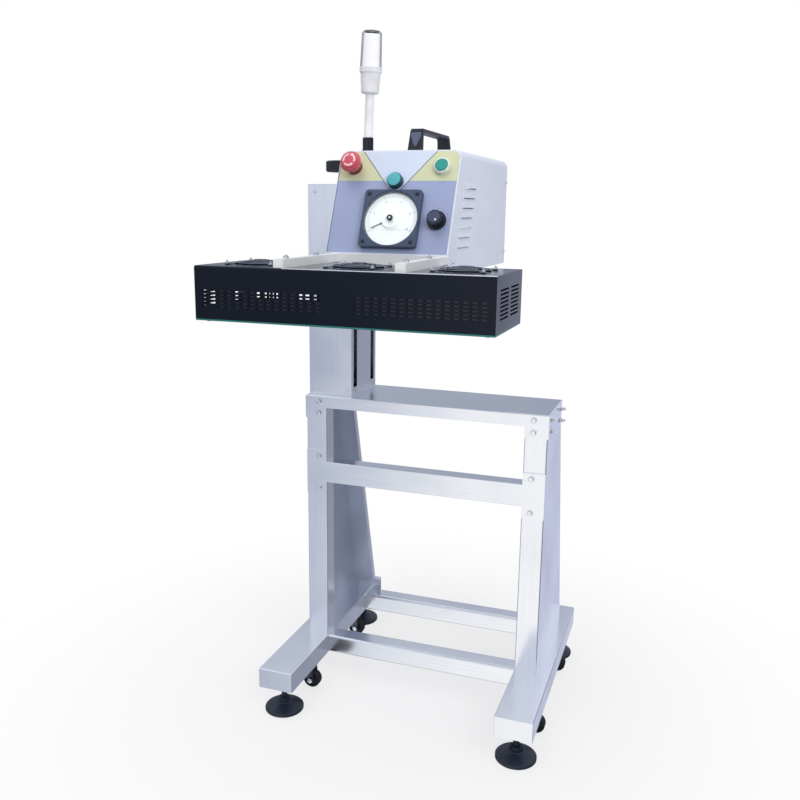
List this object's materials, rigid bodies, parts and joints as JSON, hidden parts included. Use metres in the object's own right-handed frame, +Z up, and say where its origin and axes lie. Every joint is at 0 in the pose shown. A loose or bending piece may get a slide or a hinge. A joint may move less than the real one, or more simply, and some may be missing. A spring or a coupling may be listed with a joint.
{
  "type": "induction cap sealer",
  "caption": "Free-standing induction cap sealer: folded steel stand, screw-lift column, control box with a sloped meter panel, beacon, and a fan-cooled sealing head on arms.",
  "frame": {"origin": "centre of the overall box at floor level, under the levelling pads", "axes": "+Z up, +X to the operator's right, the operator stands at -Y"},
  "size_m": [0.574, 0.7, 1.3584],
  "materials": {
    "stainless": "fine brushed stainless sheet",
    "dark_steel": "machined steel",
    "bolt_steel": "zinc plated",
    "cover_paint": "pale grey smooth paint",
    "black_gloss": "gloss black coating",
    "black_plastic": "moulded, fine grain",
    "overlay_print": "satin printed film",
    "meter_slate": "moulded slate",
    "dial_white": "printed white",
    "needle_paint": "black painted",
    "clear_window": "clear",
    "green_lens": "translucent green",
    "green_cap": "gloss green",
    "bezel_white": "pale ring",
    "stop_red": "gloss red",
    "beacon_white": "moulded white",
    "beacon_clear": "clear ribbed",
    "plate_green": "laminate",
    "coil_copper": "enamelled copper",
    "heat_sink": "extruded",
    "arm_paint": "satin",
    "wire_chrome": "plated wire",
    "wheel_rubber": "moulded"
  },
  "bodies": {
    "stand": {"left_side_frame": "stainless", "right_side_frame": "stainless", "left_foot_beam": "stainless", "right_foot_beam": "stainless", "front_cross_tube": "stainless", "rear_cross_tube": "stainless", "shelf": "stainless", "mid_rail": "stainless", "stand_bolts": "bolt_steel", "column_shell": "stainless", "column_cover": "stainless", "column_cap": "stainless", "rod_base": "dark_steel", "guide_rods": "stainless"},
    "lift": {"lift_carriage": "dark_steel", "box_chassis": "cover_paint", "box_cover": "cover_paint", "panel_overlay": "overlay_print", "inverter_module": "heat_sink", "cable_gland": "black_plastic", "meter_case": "meter_slate", "meter_dial": "dial_white", "meter_window": "clear_window", "indicator_lamp": "green_lens", "start_bezel": "bezel_white", "e_stop_collar": "black_plastic", "carry_handle": "black_plastic", "beacon_mount": "black_plastic", "beacon_pole": "stainless", "beacon_base": "beacon_white", "beacon_lens": "beacon_clear", "head_bracket": "arm_paint", "head_housing": "black_gloss", "head_bottom_plate": "plate_green", "induction_coil": "coil_copper", "fan_frames": "black_plastic", "fan_guards": "wire_chrome", "head_fasteners": "bolt_steel"},
    "lift_screw": {"lead_screw": "dark_steel", "handwheel": "black_plastic"},
    "meter_needle": {"meter_needle": "needle_paint"},
    "start_button": {"start_cap": "green_cap"},
    "e_stop_plunger": {"e_stop_stem": "dark_steel"},
    "e_stop_mushroom": {"e_stop_head": "stop_red"},
    "power_dial": {"power_knob": "black_plastic"},
    "fan_left": {"fan_rotor_left": "black_plastic"},
    "fan_middle": {"fan_rotor_middle": "black_plastic"},
    "fan_right": {"fan_rotor_right": "black_plastic"},
    "foot_front_left": {"levelling_foot_front_left": "black_plastic"},
    "castor_front_left": {"castor_fork_front_left": "dark_steel"},
    "wheel_front_left": {"castor_wheel_front_left": "wheel_rubber"},
    "foot_front_right": {"levelling_foot_front_right": "black_plastic"},
    "castor_front_right": {"castor_fork_front_right": "dark_steel"},
    "wheel_front_right": {"castor_wheel_front_right": "wheel_rubber"},
    "foot_rear_left": {"levelling_foot_rear_left": "black_plastic"},
    "castor_rear_left": {"castor_fork_rear_left": "dark_steel"},
    "wheel_rear_left": {"castor_wheel_rear_left": "wheel_rubber"},
    "foot_rear_right": {"levelling_foot_rear_right": "black_plastic"},
    "castor_rear_right": {"castor_fork_rear_right": "dark_steel"},
    "wheel_rear_right": {"castor_wheel_rear_right": "wheel_rubber"}
  },
  "joints": [
    {"name": "head_lift", "type": "slide", "parent": "stand", "child": "lift", "axis": [0, 0, 1], "range_m": [-0.22, 0.03]},
    {"name": "handwheel_turn", "type": "hinge", "parent": "stand", "child": "lift_screw", "pos_m": [-0.2085, 0.102, 1.115], "axis": [0, 0, 1], "range_deg": [-1100, 7950]},
    {"name": "needle_swing", "type": "hinge", "parent": "lift", "child": "meter_needle", "pos_m": [-0.033, -0.08821, 1.01179], "axis": [0, -0.9205, 0.3907], "range_deg": [-240, 0], "stiffness_Nm_per_rad": 0.0005},
    {"name": "start_press", "type": "slide", "parent": "lift", "child": "start_button", "axis": [0, 0.9205, -0.3907], "range_m": [0, 0.003], "stiffness_N_per_m": 700},
    {"name": "e_stop_press", "type": "slide", "parent": "lift", "child": "e_stop_plunger", "axis": [0, 0.9205, -0.3907], "range_m": [0, 0.005]},
    {"name": "e_stop_twist", "type": "hinge", "parent": "e_stop_plunger", "child": "e_stop_mushroom", "pos_m": [-0.122, -0.06138, 1.11338], "axis": [0, -0.9205, 0.3907], "range_deg": [-45, 0], "stiffness_Nm_per_rad": 0.05},
    {"name": "power_knob_turn", "type": "hinge", "parent": "lift", "child": "power_dial", "pos_m": [0.053, -0.09281, 1.01374], "axis": [0, -0.9205, 0.3907], "range_deg": [-150, 150]},
    {"name": "fan_left_spin", "type": "hinge", "parent": "lift", "child": "fan_left", "pos_m": [-0.21, -0.259, 0.92], "axis": [0, 0, 1], "continuous": true},
    {"name": "fan_middle_spin", "type": "hinge", "parent": "lift", "child": "fan_middle", "pos_m": [-0.028, -0.259, 0.92], "axis": [0, 0, 1], "continuous": true},
    {"name": "fan_right_spin", "type": "hinge", "parent": "lift", "child": "fan_right", "pos_m": [0.154, -0.259, 0.92], "axis": [0, 0, 1], "continuous": true},
    {"name": "foot_front_left_screw", "type": "slide", "parent": "stand", "child": "foot_front_left", "axis": [0, 0, 1], "range_m": [-0.01, 0.01]},
    {"name": "castor_front_left_swivel", "type": "hinge", "parent": "stand", "child": "castor_front_left", "pos_m": [-0.247, -0.03, 0.05], "axis": [0, 0, 1], "continuous": true},
    {"name": "castor_front_left_roll", "type": "hinge", "parent": "castor_front_left", "child": "wheel_front_left", "pos_m": [-0.227, -0.03, 0.022], "axis": [0, 1, 0], "continuous": true},
    {"name": "foot_front_right_screw", "type": "slide", "parent": "stand", "child": "foot_front_right", "axis": [0, 0, 1], "range_m": [-0.01, 0.01]},
    {"name": "castor_front_right_swivel", "type": "hinge", "parent": "stand", "child": "castor_front_right", "pos_m": [0.247, -0.03, 0.05], "axis": [0, 0, 1], "continuous": true},
    {"name": "castor_front_right_roll", "type": "hinge", "parent": "castor_front_right", "child": "wheel_front_right", "pos_m": [0.267, -0.03, 0.022], "axis": [0, 1, 0], "continuous": true},
    {"name": "foot_rear_left_screw", "type": "slide", "parent": "stand", "child": "foot_rear_left", "axis": [0, 0, 1], "range_m": [-0.01, 0.01]},
    {"name": "castor_rear_left_swivel", "type": "hinge", "parent": "stand", "child": "castor_rear_left", "pos_m": [-0.247, 0.228, 0.05], "axis": [0, 0, 1], "continuous": true},
    {"name": "castor_rear_left_roll", "type": "hinge", "parent": "castor_rear_left", "child": "wheel_rear_left", "pos_m": [-0.227, 0.228, 0.022], "axis": [0, 1, 0], "continuous": true},
    {"name": "foot_rear_right_screw", "type": "slide", "parent": "stand", "child": "foot_rear_right", "axis": [0, 0, 1], "range_m": [-0.01, 0.01]},
    {"name": "castor_rear_right_swivel", "type": "hinge", "parent": "stand", "child": "castor_rear_right", "pos_m": [0.247, 0.228, 0.05], "axis": [0, 0, 1], "continuous": true},
    {"name": "castor_rear_right_roll", "type": "hinge", "parent": "castor_rear_right", "child": "wheel_rear_right", "pos_m": [0.267, 0.228, 0.022], "axis": [0, 1, 0], "continuous": true}
  ],
  "couplings": [
    {"joint": "handwheel_turn", "follows": "head_lift", "rad_per_m": -628.32}
  ]
}
